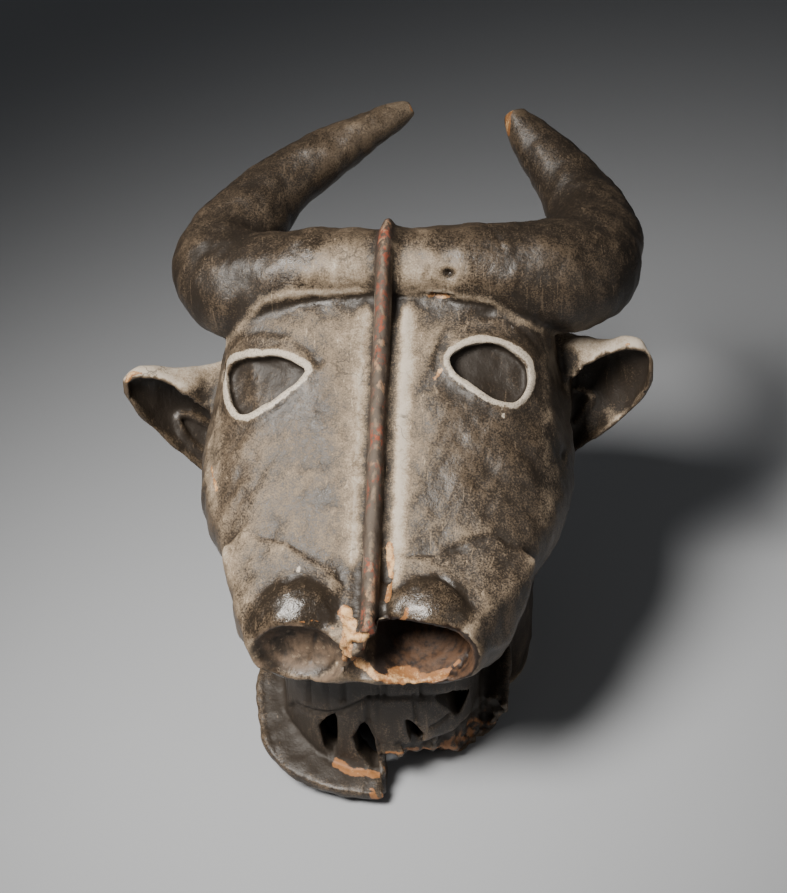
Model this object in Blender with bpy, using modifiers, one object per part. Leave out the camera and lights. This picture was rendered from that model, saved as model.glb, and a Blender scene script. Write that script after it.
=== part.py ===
"""A buffalo headdress mask, carved from one block of wood.

The mask stands on the flat rim of its hollow and on its lower jaw, with its muzzle towards -Y.
X runs across the head, the origin is on the floor under the middle of the mask.
"""

import math

import bmesh
import bpy
import numpy as np
from mathutils import Matrix

# Driving sizes, in metres
HEAD_WIDTH = 0.256  # cheek to cheek, at the widest
WALL = 0.017  # wood left between the hollow and the outside
RIDGE_WIDTH = 0.016  # crest that runs from the poll to the nose
RIDGE_HEIGHT = 0.010
EYE_RIM = 0.0040  # half the thickness of the raised rim round each eye
EYE_DEPTH = 0.008  # how far the eye is sunk inside its rim
LIP_WIDTH = 0.021  # flat band of the lower lip
TEETH_DEPTH = 0.018  # thickness of the wall of teeth
EAR_WALL = 0.006
GRAIN = 0.003  # size of the facets that the pieces are merged with
FINE_GRAIN = 0.002
MOST_FACETS = 9400

# The free carving is given in units of one 256th of the head's width, a millimetre at the real size
UNIT = HEAD_WIDTH / 256.0

# Head, level by level: height, half width, front, widest place and back along Y
HEAD_LEVELS = (
    (-12, 94, -70, 0, 100),
    (20, 97, -78, -2, 104),
    (60, 98, -92, -5, 107),
    (100, 101, -122, -8, 109),
    (135, 112, -146, -12, 110),
    (165, 126, -154, -14, 110),
    (190, 128, -148, -12, 109),
    (215, 122, -120, -4, 107),
    (240, 116, -87, 6, 104),
    (265, 110, -54, 20, 98),
    (285, 102, -24, 34, 90),
    (298, 88, 0, 42, 80),
    (306, 66, 20, 46, 70),
    (310, 30, 34, 48, 60),
)
HEAD_SQUARE_FRONT = 2.75
HEAD_SQUARE_BACK = 2.3
HEAD_SHIFT = 2  # the carving is a little fuller on its right
HOLLOW_TOP = 300  # level of the head whose outline, drawn in, closes the top of the hollow

# Horns: centre line and radius, from the middle of the head to the tip
LEFT_HORN = (
    (2, 28, 309, 25),
    (-28, 28, 309, 26),
    (-55, 29, 304, 29),
    (-81, 32, 293, 34),
    (-101, 38, 284, 38),
    (-115, 56, 286, 37),
    (-114, 78, 290, 33),
    (-101, 102, 300, 29),
    (-83, 124, 312, 23),
    (-51, 146, 326, 19),
    (-27, 158, 335, 15),
    (-4, 169, 343, 10),
    (9, 175, 348, 6),
)
RIGHT_HORN = (
    (2, 28, 311, 25),
    (30, 28, 311, 26),
    (57, 29, 310, 29),
    (84, 32, 305, 33),
    (111, 38, 298, 38),
    (131, 54, 290, 39),
    (138, 76, 291, 37),
    (138, 102, 295, 32),
    (129, 126, 303, 26),
    (112, 148, 316, 21),
    (101, 158, 324, 18),
    (89, 168, 335, 13),
    (81, 176, 345, 8),
)

# Muzzle, section by section: place along Y, half width, underside and top
MUZZLE = (
    (-60, 88, 66, 150),
    (-100, 88, 84, 186),
    (-130, 86, 97, 192),
    (-155, 83, 108, 184),
    (-175, 80, 118, 175),
    (-190, 75, 125, 168),
    (-195, 66, 129, 160),
)
MUZZLE_SQUARE = 2.6
# Wings on the muzzle: corners of the left one and of the right one
WINGS = (
    (
        (-28, -146, 190), (-58, -131, 202), (-85, -122, 201), (-101, -128, 186), (-97, -142, 164),
        (-88, -165, 142), (-80, -186, 150), (-66, -188, 166), (-30, -180, 177), (-20, -160, 186),
        (-90, -118, 132), (-80, -150, 114), (-60, -180, 122), (-20, -180, 118), (-20, -100, 112),
        (-60, -90, 150), (-20, -90, 150),
    ),
    (
        (16, -146, 194), (45, -138, 199), (82, -123, 201), (108, -128, 183), (104, -142, 162),
        (92, -165, 142), (76, -186, 152), (66, -188, 168), (28, -180, 178), (14, -160, 187),
        (94, -118, 132), (84, -150, 114), (60, -180, 122), (20, -180, 118), (20, -100, 112),
        (62, -90, 150), (20, -90, 150),
    ),
)
# Hoods and nostrils: centre and radii
HOODS = (
    ((-46, -165, 150), (37, 30, 38)),
    ((39, -165, 152), (37, 30, 39)),
)
NOSTRILS = (
    ((-47, -198, 150), (33, 22, 25)),
    ((33, -196, 152), (37, 50, 25)),
    ((-3, -200, 143), (13, 14, 14)),
)

# Crest, from the poll over the brow to the nose: X, Y and Z of its foot
RIDGE = (
    (3, 56, 308),
    (3, 42, 325),
    (3, 26, 336),
    (2, 8, 329),
    (1, -2, 312),
    (1, -20, 292),
    (1, -54, 266),
    (1, -87, 241),
    (1, -120, 216),
    (1, -150, 193),
    (1, -176, 176),
    (1, -190, 168),
)

# Eyes: X and Z of the rim, laid on the face
LEFT_EYE = (
    (-108, 252), (-105, 260), (-99, 266), (-90, 271), (-79, 274), (-68, 276), (-57, 275), (-47, 272),
    (-52, 267), (-60, 262), (-70, 255), (-79, 250), (-88, 245), (-97, 243), (-104, 245),
)
RIGHT_EYE = (
    (45, 277), (51, 281), (60, 283), (70, 283), (81, 280), (91, 275), (98, 269), (101, 262),
    (99, 256), (93, 253), (85, 254), (75, 258), (65, 263), (55, 268), (48, 272),
)
EYE_SINK = 0.93  # outline of the sunk eye, as a share of the middle line of its rim

# Ears, section by section out from the head: distance, front, back, underside, top, and how fast the
# section rises to its back, which turns the top of the ear into a roof
LEFT_EAR = (
    (96, -4, 56, 138, 199, 1.1),
    (127, 2, 50, 142, 206, 1.0),
    (143, 5, 44, 149, 216, 0.5),
    (159, 9, 37, 161, 223, 0.1),
    (175, 11, 29, 182, 227, 0.0),
    (184, 12, 21, 201, 224, 0.0),
    (188, 14, 17, 209, 219, 0.0),
)
RIGHT_EAR = (
    (96, -4, 56, 162, 228, 1.1),
    (120, 1, 52, 166, 236, 1.0),
    (135, 4, 46, 171, 245, 0.6),
    (150, 7, 41, 180, 251, 0.2),
    (165, 10, 33, 193, 257, 0.0),
    (175, 11, 27, 208, 257, 0.0),
    (181, 12, 20, 222, 250, 0.0),
    (184, 14, 17, 231, 242, 0.0),
)
EAR_SQUARE_DEPTH = 2.4
EAR_SQUARE_HEIGHT = 2.2
EAR_ROOT = 125  # where the scoop starts, just outside the cheek
SCOOP_OPEN = 30  # how far the scoop reaches past the front of the ear

# Lower jaw: half of its outline, and the height and slope of the top of its lip
JAW = ((90, -20), (90, -74), (89, -110), (81, -141), (63, -163), (34, -176), (0, -180))
JAW_SHIFT = -2  # the jaw hangs a little to its left
LIP_FRONT = -185
LIP_HEIGHT = 14
LIP_SLOPE = 0.276
TEETH_TOP = 112
BELOW = -8  # the forms run on under the floor, and are cut off flat
# Mouth between the lip and the underside of the muzzle: Y and Z, seen from the side
MOUTH = (
    (-260, -10), (-200, 10), (-56, 50), (-74, 66), (-100, 82), (-130, 94),
    (-155, 107), (-175, 116), (-196, 123), (-260, 136),
)
MOUTH_HALF = 150
# Gaps between the teeth: X and Z of their corners
GAPS = (
    ((-27, 64), (-40, 50), (-38, 31), (-30, 21)),
    ((-9, 60), (-17, 47), (-14, 31), (-4, 20), (0, 20), (-2, 45)),
    ((17, 67), (24, 60), (31, 47), (29, 33), (22, 42)),
    ((38, 77), (54, 71), (61, 61), (53, 48), (48, 60)),
)
GAPS_FROM, GAPS_TO = -185, -120
# Where the right of the lip is broken away: X and Y, from the middle round to the standing splinter
BREAK = (
    (3, -205), (4, -180), (9, -168), (4, -160), (15, -157), (18, -149), (33, -143), (38, -146),
    (41, -137), (50, -131), (57, -115), (63, -106), (70, -100), (75, -103), (84, -110), (120, -116),
    (120, -205),
)
BREAK_FROM, BREAK_TO = -20, 40
# Where the foot of the teeth is broken off behind the lip: Y and Z, seen from the side
FOOT_BREAK = (
    (-220, -20), (-110, -20), (-122, 4), (-134, 17), (-146, 26), (-156, 33), (-170, 40), (-220, 44),
)
FOOT_BREAK_FROM, FOOT_BREAK_TO = 4, 68
# Where the side of the jaw is split off: X and Z at its front, and how far the split runs out at its end
SIDE_BREAK = ((66, -20), (72, 0), (84, 27), (95, 70), (98, 100), (150, 100), (150, -20))
SIDE_BREAK_FROM, SIDE_BREAK_TO, SIDE_BREAK_RUN = -215, -10, 30
FLOOR_HALF, FLOOR_DEEP = 300, -60


def points(values):
    """Carving units to metres."""
    return np.array(values, float) * UNIT


def new_object(name, mesh, collection):
    obj = bpy.data.objects.new(name, mesh)
    collection.objects.link(obj)
    return obj


def loft(name, rings, collection):
    """Skins a stack of closed rings, each with as many points, and closes both ends."""
    rings = np.asarray(rings, float)
    count, around, _ = rings.shape
    row = np.arange(count - 1)[:, None] * around
    here = np.arange(around)[None, :]
    after = (here + 1) % around
    sides = np.stack([row + here, row + after, row + after + around, row + here + around], -1)
    faces = [tuple(face) for face in sides.reshape(-1, 4).tolist()]
    faces.append(tuple(reversed(range(around))))
    faces.append(tuple(range((count - 1) * around, count * around)))
    mesh = bpy.data.meshes.new(name)
    mesh.from_pydata(rings.reshape(-1, 3).tolist(), [], faces)
    shape = bmesh.new()
    shape.from_mesh(mesh)
    bmesh.ops.recalc_face_normals(shape, faces=shape.faces)
    shape.to_mesh(mesh)
    shape.free()
    return new_object(name, mesh, collection)


def smooth_rows(rows, count, closed=False):
    """Resamples a table of rows along a Catmull-Rom curve through them."""
    rows = np.asarray(rows, float)
    if closed:
        padded = np.vstack([rows[-1], rows, rows[0], rows[1]])
        place = np.linspace(0, len(rows), count, endpoint=False)
    else:
        padded = np.vstack([2 * rows[0] - rows[1], rows, 2 * rows[-1] - rows[-2]])
        place = np.linspace(0, len(rows) - 1 - 1e-9, count)
    index = place.astype(int)
    t = (place - index)[:, None]
    a, b, c, d = (padded[index + k] for k in range(4))
    return 0.5 * (2 * b + (c - a) * t + (2 * a - 5 * b + 4 * c - d) * t**2 + (3 * b - a - 3 * c + d) * t**3)


def power(values, exponent):
    return np.sign(values) * np.abs(values) ** exponent


def head_rings(inset=0.0, top=None, levels=40, around=96):
    """Level outlines of the head, each a squared oval with its own front and back, or of the hollow in it."""
    angle = np.linspace(0, 2 * math.pi, around, endpoint=False)
    rings = []
    for height, half, front, widest, back in smooth_rows(HEAD_LEVELS, levels):
        if top is not None and height > top:
            break
        square = np.where(np.sin(angle) < 0, HEAD_SQUARE_FRONT, HEAD_SQUARE_BACK)
        depth = np.where(np.sin(angle) < 0, widest - front, back - widest)
        x = HEAD_SHIFT + (half - inset) * power(np.cos(angle), 2 / square)
        y = widest + (depth - inset) * power(np.sin(angle), 2 / square)
        rings.append(np.stack([x, y, np.full(around, height - inset)], -1))
    return points(rings)


def face_at(x, z):
    """Y of the front of the head at a place on the face, in carving units."""
    levels = smooth_rows(HEAD_LEVELS, 200)
    half, front, widest = (np.interp(z, levels[:, 0], levels[:, k]) for k in (1, 2, 3))
    share = np.clip(np.abs(x - HEAD_SHIFT) / half, 0, 0.995)
    return widest - (widest - front) * (1 - share**HEAD_SQUARE_FRONT) ** (1 / HEAD_SQUARE_FRONT)


def bar(name, centre, radius, collection, closed=False):
    """A round bar along a path with a radius at each of its points, as a closed mesh."""
    curve = bpy.data.curves.new(name, "CURVE")
    curve.dimensions = "3D"
    curve.bevel_depth = 1.0
    curve.bevel_resolution = 8
    curve.use_fill_caps = True
    spline = curve.splines.new("POLY")
    spline.points.add(len(centre) - 1)
    spline.use_cyclic_u = closed
    for point, place, size in zip(spline.points, centre, radius):
        point.co = (*place, 1.0)
        point.radius = size
    path = new_object(name, curve, collection)
    depsgraph = bpy.context.evaluated_depsgraph_get()
    mesh = bpy.data.meshes.new_from_object(path.evaluated_get(depsgraph))
    shape = bmesh.new()
    shape.from_mesh(mesh)
    bmesh.ops.remove_doubles(shape, verts=shape.verts, dist=UNIT / 100)
    bmesh.ops.recalc_face_normals(shape, faces=shape.faces)
    shape.to_mesh(mesh)
    shape.free()
    bpy.data.objects.remove(path)
    return new_object(name, mesh, collection)


def horn(name, table, collection):
    rows = smooth_rows(table, 48)
    return bar(name, points(rows[:, :3]), points(rows[:, 3]), collection)


def crest(collection):
    """Ridge of oval section along the middle of the face."""
    centre = points(smooth_rows(RIDGE, 40))
    along = np.gradient(centre, axis=0)
    along /= np.linalg.norm(along, axis=1)[:, None]
    out = np.cross([1.0, 0, 0], along)
    angle = np.linspace(0, 2 * math.pi, 16, endpoint=False)
    side = RIDGE_WIDTH / 2 * np.cos(angle)[None, :, None] * np.array([1.0, 0, 0])
    proud = RIDGE_HEIGHT * np.sin(angle)[None, :, None] * out[:, None]
    return loft("crest", centre[:, None] + side + proud, collection)


def ellipsoid(name, centre, radii, collection):
    """A stretched ball."""
    shape = bmesh.new()
    bmesh.ops.create_uvsphere(shape, u_segments=40, v_segments=24, radius=1.0)
    shape.transform(Matrix.Translation(points(centre)) @ Matrix.Diagonal((*points(radii), 1.0)))
    mesh = bpy.data.meshes.new(name)
    shape.to_mesh(mesh)
    shape.free()
    return new_object(name, mesh, collection)


def slab(name, corners, collection):
    """The tightest solid round its corners, with flat sides."""
    shape = bmesh.new()
    for corner in points(corners):
        shape.verts.new(corner)
    hull = bmesh.ops.convex_hull(shape, input=shape.verts)
    loose = [vert for vert in hull["geom_interior"] if isinstance(vert, bmesh.types.BMVert)]
    bmesh.ops.delete(shape, geom=loose, context="VERTS")
    bmesh.ops.recalc_face_normals(shape, faces=shape.faces)
    mesh = bpy.data.meshes.new(name)
    shape.to_mesh(mesh)
    shape.free()
    return new_object(name, mesh, collection)


def prism(name, outline, low, high, collection, axis="Z"):
    """An outline drawn out along Z, along Y from X and Z, or along X from Y and Z."""
    outline = np.asarray(outline, float)
    rings = np.array([np.insert(outline, 2, level, axis=1) for level in (low, high)])
    if axis == "Y":
        rings = rings[:, :, [0, 2, 1]]
    if axis == "X":
        rings = rings[:, :, [2, 0, 1]]
    return loft(name, points(rings), collection)


def joined(name, parts, collection):
    """One object with the meshes of several."""
    shape = bmesh.new()
    for part in parts:
        shape.from_mesh(part.data)
        bpy.data.objects.remove(part)
    mesh = bpy.data.meshes.new(name)
    shape.to_mesh(mesh)
    shape.free()
    return new_object(name, mesh, collection)


def settle(obj):
    """Replaces an object's mesh by the result of its modifiers."""
    depsgraph = bpy.context.evaluated_depsgraph_get()
    depsgraph.update()
    mesh = bpy.data.meshes.new_from_object(obj.evaluated_get(depsgraph))
    obj.modifiers.clear()
    obj.data = mesh


def merge(obj, size):
    """Melts overlapping forms into one skin."""
    modifier = obj.modifiers.new("merge", "REMESH")
    modifier.mode = "VOXEL"
    modifier.voxel_size = size
    settle(obj)


def cut(obj, cutters):
    """Carves each cutter out of an object."""
    for cutter in cutters:
        modifier = obj.modifiers.new("cut", "BOOLEAN")
        modifier.operation = "DIFFERENCE"
        modifier.solver = "EXACT"
        modifier.object = cutter
        settle(obj)
        bpy.data.objects.remove(cutter)


def muzzle(collection):
    """Core of the muzzle with its wings and the hoods over the nostrils."""
    angle = np.linspace(0, 2 * math.pi, 64, endpoint=False)
    rings = []
    for place, half, low, high in smooth_rows(MUZZLE, 24):
        x = half * power(np.cos(angle), 2 / MUZZLE_SQUARE)
        z = (low + high) / 2 + (high - low) / 2 * power(np.sin(angle), 2 / MUZZLE_SQUARE)
        rings.append(np.stack([x, np.full(len(angle), place), z], -1))
    parts = [loft("core", points(rings), collection)]
    parts += [slab("wing", wing, collection) for wing in WINGS]
    parts += [ellipsoid("hood", *hood, collection) for hood in HOODS]
    return parts


def eye_outline(table, size=1.0, steps=48):
    outline = smooth_rows(table, steps, closed=True)
    return outline.mean(0) + (outline - outline.mean(0)) * size


def on_face(outline):
    return np.stack([outline[:, 0], face_at(outline[:, 0], outline[:, 1]), outline[:, 1]], -1)


def eye_out(table):
    """Direction that an eye looks in."""
    x, z = eye_outline(table).mean(0)
    step = 12
    along = np.array([2 * step, face_at(x + step, z) - face_at(x - step, z), 0])
    rising = np.array([0, face_at(x, z + step) - face_at(x, z - step), 2 * step])
    out = np.cross(along, rising)
    return out / np.linalg.norm(out)


def eye_rim(table, collection):
    centre = points(on_face(eye_outline(table)))
    return bar("eye rim", centre, np.full(len(centre), EYE_RIM), collection, closed=True)


def eye_cut(table, collection):
    """Straight-sided sink inside the rim of an eye."""
    surface = points(on_face(eye_outline(table, EYE_SINK)))
    out = eye_out(table)
    rings = [surface + out * 2 * EYE_DEPTH, surface - out * EYE_DEPTH]
    return loft("eye cut", rings, collection)


def ear_rings(table, side, inset=0.0, open_front=False, around=40, steps=28):
    """Oval sections out along the ear, whole or for the scoop inside it."""
    angle = np.linspace(0, 2 * math.pi, around, endpoint=False)
    rings = []
    for out, front, back, low, high, tilt in smooth_rows(table, steps):
        if open_front and out < EAR_ROOT:
            continue
        if open_front and out > table[-1][0] - inset:
            break
        section_front = front - SCOOP_OPEN if open_front else front
        section_back = back - inset
        height = (high - low) / 2 - inset
        if height <= 0:
            break
        middle = (section_front + section_back) / 2
        depth = (section_back - section_front) / 2
        y = middle + depth * power(np.cos(angle), 2 / EAR_SQUARE_DEPTH)
        z = (high + low) / 2 + height * power(np.sin(angle), 2 / EAR_SQUARE_HEIGHT)
        z += tilt * (y - (front + back) / 2)
        rings.append(np.stack([np.full(around, side * out), y, z], -1))
    return points(rings)


def jaw_outline(inset=0.0, steps=120):
    """Plan of the jaw, drawn in by the inset at its sides and front."""
    half = np.array(JAW, float)
    whole = np.vstack([half, (half * (-1, 1))[-2::-1]])
    curve = smooth_rows(whole, steps)
    wide, back, front = JAW[0][0], JAW[0][1], JAW[-1][1]
    x = JAW_SHIFT + curve[:, 0] * (wide - inset) / wide
    y = back + (curve[:, 1] - back) * (back - front - inset) / (back - front)
    return np.stack([x, y], -1)


def jaw_solid(name, stages, collection):
    """Jaw-shaped solid, by stages of inset, height and how fast the height rises to the back."""
    rings = []
    for inset, height, rise in stages:
        outline = jaw_outline(inset)
        z = height + rise * (outline[:, 1] - LIP_FRONT)
        rings.append(np.stack([outline[:, 0], outline[:, 1], z], -1))
    return loft(name, points(rings), collection)


def side_break(collection):
    """Split that runs out of the side of the jaw towards the back."""
    outline = np.array(SIDE_BREAK, float)
    ends = ((SIDE_BREAK_FROM, 0), (SIDE_BREAK_TO, SIDE_BREAK_RUN))
    rings = [np.insert(outline + (run, 0), 1, place, axis=1) for place, run in ends]
    return loft("side break", points(rings), collection)


def hollow(cutters):
    """Space inside for the wearer's head and the space behind the teeth, as one."""
    inset = WALL / UNIT
    cavity = (LIP_WIDTH + TEETH_DEPTH) / UNIT
    head_space = loft("head hollow", head_rings(inset, HOLLOW_TOP), cutters)
    mouth_space = jaw_solid("mouth hollow", ((cavity, 3 * BELOW, 0), (cavity, TEETH_TOP + BELOW, 0)), cutters)
    space = joined("hollow", [head_space, mouth_space], cutters)
    merge(space, GRAIN)
    return space


def carve(collection, cutters):
    mask = joined("mask", [loft("head", head_rings(), collection)] + muzzle(collection), collection)
    merge(mask, GRAIN)
    cut(mask, [prism("mouth", MOUTH, -MOUTH_HALF, MOUTH_HALF, cutters, "X")])

    lip = ((20, BELOW, 0), (14, 2, 0), (2, LIP_HEIGHT + BELOW, LIP_SLOPE), (0, LIP_HEIGHT, LIP_SLOPE))
    teeth = ((LIP_WIDTH / UNIT, BELOW, 0), (LIP_WIDTH / UNIT, TEETH_TOP, 0))
    parts = [
        mask,
        jaw_solid("lip", lip, collection),
        jaw_solid("teeth", teeth, collection),
        horn("left horn", LEFT_HORN, collection),
        horn("right horn", RIGHT_HORN, collection),
        crest(collection),
        loft("left ear", ear_rings(LEFT_EAR, -1), collection),
        loft("right ear", ear_rings(RIGHT_EAR, 1), collection),
        eye_rim(LEFT_EYE, collection),
        eye_rim(RIGHT_EYE, collection),
    ]
    mask = joined("mask", parts, collection)
    merge(mask, GRAIN)

    cut(mask, [
        hollow(cutters),
        prism("break", BREAK, BREAK_FROM, BREAK_TO, cutters),
        prism("foot break", FOOT_BREAK, FOOT_BREAK_FROM, FOOT_BREAK_TO, cutters, "X"),
        side_break(cutters),
        eye_cut(LEFT_EYE, cutters),
        eye_cut(RIGHT_EYE, cutters),
    ])
    cut(mask, [ellipsoid("nostril", *nostril, cutters) for nostril in NOSTRILS])
    cut(mask, [prism("gap", gap, GAPS_FROM, GAPS_TO, cutters, "Y") for gap in GAPS])
    cut(mask, [
        loft("left scoop", ear_rings(LEFT_EAR, -1, EAR_WALL / UNIT, True), cutters),
        loft("right scoop", ear_rings(RIGHT_EAR, 1, EAR_WALL / UNIT, True), cutters),
    ])
    merge(mask, FINE_GRAIN)
    x = y = FLOOR_HALF
    cut(mask, [prism("floor", [(-x, -y), (x, -y), (x, y), (-x, y)], FLOOR_DEEP, 0, cutters)])
    return mask


def thin_out(mask):
    facets = sum(len(face.vertices) - 2 for face in mask.data.polygons)
    modifier = mask.modifiers.new("facets", "DECIMATE")
    modifier.ratio = min(1.0, MOST_FACETS / facets)
    settle(mask)
    for vertex in mask.data.vertices:
        if abs(vertex.co.z) < FINE_GRAIN / 2:
            vertex.co.z = 0.0  # the sawn rim stays flat


def wood():
    """Dark rubbed patina of the carving."""
    material = bpy.data.materials.new("patinated wood")
    material.use_nodes = True
    shader = material.node_tree.nodes["Principled BSDF"]
    shader.inputs["Base Color"].default_value = (0.17, 0.13, 0.10, 1.0)
    shader.inputs["Roughness"].default_value = 0.5
    shader.inputs["Metallic"].default_value = 0.0
    return material


def stand_over_origin(mask):
    """Puts the middle of the mask's plan over the origin."""
    place = np.array([vertex.co for vertex in mask.data.vertices])
    low, high = place.min(axis=0), place.max(axis=0)
    middle = (low + high) / 2
    mask.data.transform(Matrix.Translation((-middle[0], -middle[1], -low[2])))


def main():
    for obj in list(bpy.data.objects):
        bpy.data.objects.remove(obj)
    collection = bpy.data.collections.new("buffalo_headdress_mask")
    cutters = bpy.data.collections.new("cutters")
    for group in (collection, cutters):
        bpy.context.scene.collection.children.link(group)
    mask = carve(collection, cutters)
    thin_out(mask)
    stand_over_origin(mask)
    mask.data.materials.clear()
    mask.data.materials.append(wood())


main()
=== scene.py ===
"""Looks of the buffalo headdress mask: fine carving, tool marks, breaks and the rubbed patina.

The free carving is in millimetres, X across the head, the muzzle towards -Y and Z up from the rim.
Left and right are those of the photograph, with the left at -X.
"""
import math

import bmesh
import bpy
import numpy as np
from mathutils import Matrix, Vector


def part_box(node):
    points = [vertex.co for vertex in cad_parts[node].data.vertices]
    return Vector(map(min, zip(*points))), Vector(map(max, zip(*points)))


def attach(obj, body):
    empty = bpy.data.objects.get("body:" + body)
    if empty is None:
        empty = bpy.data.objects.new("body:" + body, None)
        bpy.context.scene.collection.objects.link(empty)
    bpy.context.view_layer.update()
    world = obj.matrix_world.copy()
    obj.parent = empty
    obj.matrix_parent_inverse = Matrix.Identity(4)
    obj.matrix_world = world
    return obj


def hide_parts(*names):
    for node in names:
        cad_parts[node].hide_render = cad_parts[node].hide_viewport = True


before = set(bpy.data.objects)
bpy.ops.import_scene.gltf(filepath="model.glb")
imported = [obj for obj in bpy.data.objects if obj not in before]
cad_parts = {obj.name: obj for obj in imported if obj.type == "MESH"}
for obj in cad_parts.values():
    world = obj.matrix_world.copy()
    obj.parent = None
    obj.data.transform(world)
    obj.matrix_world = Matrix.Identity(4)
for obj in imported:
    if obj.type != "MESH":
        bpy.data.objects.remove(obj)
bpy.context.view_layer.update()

# Head block
# The head is a block of wood: a stack of squared ovals, each with its own front and back. A smaller
# stack of the same ovals, set lower, is the hollow for the wearer's head.
MM = 1000  # in a metre
HEAD_LEVELS = (  # height, half width, front, widest place and back along Y
    (-12, 94, -70, 0, 100),
    (20, 97, -78, -2, 104),
    (60, 98, -92, -5, 107),
    (100, 101, -122, -8, 109),
    (135, 112, -146, -12, 110),
    (165, 126, -154, -14, 110),
    (190, 128, -148, -12, 109),
    (215, 122, -120, -4, 107),
    (240, 116, -87, 6, 104),
    (265, 110, -54, 20, 98),
    (285, 102, -24, 34, 90),
    (298, 88, 0, 42, 80),
    (306, 66, 20, 46, 70),
    (310, 30, 34, 48, 60),
)
HEAD_SQUARE_FRONT = 2.75
HEAD_SQUARE_BACK = 2.3
HEAD_SHIFT = 2  # the head is a little fuller on the right
WALL = 17  # wood left between the hollow and the outside
HOLLOW_TOP = 300  # level of the head that closes the top of the hollow

workshop = bpy.data.collections.new("workshop")
bpy.context.scene.collection.children.link(workshop)


def smooth_rows(rows, count, closed=False):
    """Resamples a table of rows along a Catmull-Rom curve, a cubic through every four rows in turn."""
    rows = np.asarray(rows, float)
    if closed:
        padded = np.vstack([rows[-1], rows, rows[0], rows[1]])
        place = np.linspace(0, len(rows), count, endpoint=False)
    else:
        padded = np.vstack([2 * rows[0] - rows[1], rows, 2 * rows[-1] - rows[-2]])
        place = np.linspace(0, len(rows) - 1 - 1e-9, count)
    index = place.astype(int)
    t = (place - index)[:, None]
    a, b, c, d = (padded[index + k] for k in range(4))
    bend = 2 * a - 5 * b + 4 * c - d
    twist = 3 * b - a - 3 * c + d
    return 0.5 * (2 * b + (c - a) * t + bend * t**2 + twist * t**3)


def power(values, exponent):
    """Signed power, which squares the circle of a cosine and a sine."""
    return np.sign(values) * np.abs(values) ** exponent


def once_round(around):
    """Even angles from 0 to 2 pi, in a row."""
    return np.linspace(0, 2 * math.pi, around, endpoint=False)[None, :]


def on_bench(name, solid):
    """Makes an object of a worked solid and lays it in the workshop."""
    mesh = bpy.data.meshes.new(name)
    solid.to_mesh(mesh)
    solid.free()
    obj = bpy.data.objects.new(name, mesh)
    workshop.objects.link(obj)
    return obj


def skin(name, grid, endless=False):
    """Closed mesh over a grid of rings in millimetres: its ends meet, or each has a flat cap."""
    count, around, _ = grid.shape
    rings = np.arange(count)[:, None] * around
    here = np.arange(around)[None, :]
    after = (here + 1) % around
    this, following = (rings, np.roll(rings, -1)) if endless else (rings[:-1], rings[1:])
    sides = np.stack([this + here, this + after, following + after, following + here], -1)
    faces = sides.reshape(-1, 4).tolist()
    if not endless:
        faces += [list(range(around))[::-1], list(range((count - 1) * around, count * around))]
    mesh = bpy.data.meshes.new(name)
    mesh.from_pydata((grid.reshape(-1, 3) / MM).tolist(), [], faces)
    solid = bmesh.new()
    solid.from_mesh(mesh)
    bpy.data.meshes.remove(mesh)
    bmesh.ops.recalc_face_normals(solid, faces=solid.faces)
    return on_bench(name, solid)


def head_surface(inset=0.0, top=math.inf, levels=120, around=180):
    """Squared ovals: |x/half|^p + |y/depth|^p = 1 at each height, with p of the front or of the back."""
    rows = smooth_rows(HEAD_LEVELS, levels)
    height, half, front, widest, back = (column[:, None] for column in rows[rows[:, 0] <= top].T)
    angle = once_round(around)
    is_front = np.sin(angle) < 0
    square = np.where(is_front, HEAD_SQUARE_FRONT, HEAD_SQUARE_BACK)
    depth = np.where(is_front, widest - front, back - widest) - inset
    x = HEAD_SHIFT + (half - inset) * power(np.cos(angle), 2 / square)
    y = widest + depth * power(np.sin(angle), 2 / square)
    return np.stack(np.broadcast_arrays(x, y, height - inset), -1)


def face_at(x, z):
    """Y of the front of the head at a place on the face, from the same squared ovals."""
    rows = smooth_rows(HEAD_LEVELS, 200)
    half, front, widest = (np.interp(z, rows[:, 0], rows[:, k]) for k in (1, 2, 3))
    share = np.clip(np.abs(x - HEAD_SHIFT) / half, 0, 0.995)
    return widest - (widest - front) * (1 - share**HEAD_SQUARE_FRONT) ** (1 / HEAD_SQUARE_FRONT)


head = skin("head", head_surface())
head_hollow = skin("head_hollow", head_surface(WALL, HOLLOW_TOP))

# Horns
# Both horns are carved with the head. They grow out of one bar across the brow, sweep out and down,
# and curve back and in to blunt tips of unlike length.
LEFT_HORN = (  # x, y, z and radius
    (2, 28, 309, 25),
    (-28, 28, 309, 26),
    (-55, 29, 304, 29),
    (-81, 32, 293, 34),
    (-101, 38, 284, 38),
    (-115, 56, 286, 37),
    (-114, 78, 290, 33),
    (-101, 102, 300, 29),
    (-83, 124, 312, 23),
    (-51, 146, 326, 19),
    (-27, 158, 335, 15),
    (-4, 169, 343, 10),
    (9, 175, 348, 6),
)
RIGHT_HORN = (
    (2, 28, 311, 25),
    (30, 28, 311, 26),
    (57, 29, 310, 29),
    (84, 32, 305, 33),
    (111, 38, 298, 38),
    (131, 54, 290, 39),
    (138, 76, 291, 37),
    (138, 102, 295, 32),
    (129, 126, 303, 26),
    (112, 148, 316, 21),
    (101, 158, 324, 18),
    (89, 168, 335, 13),
    (81, 176, 345, 8),
)


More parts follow.
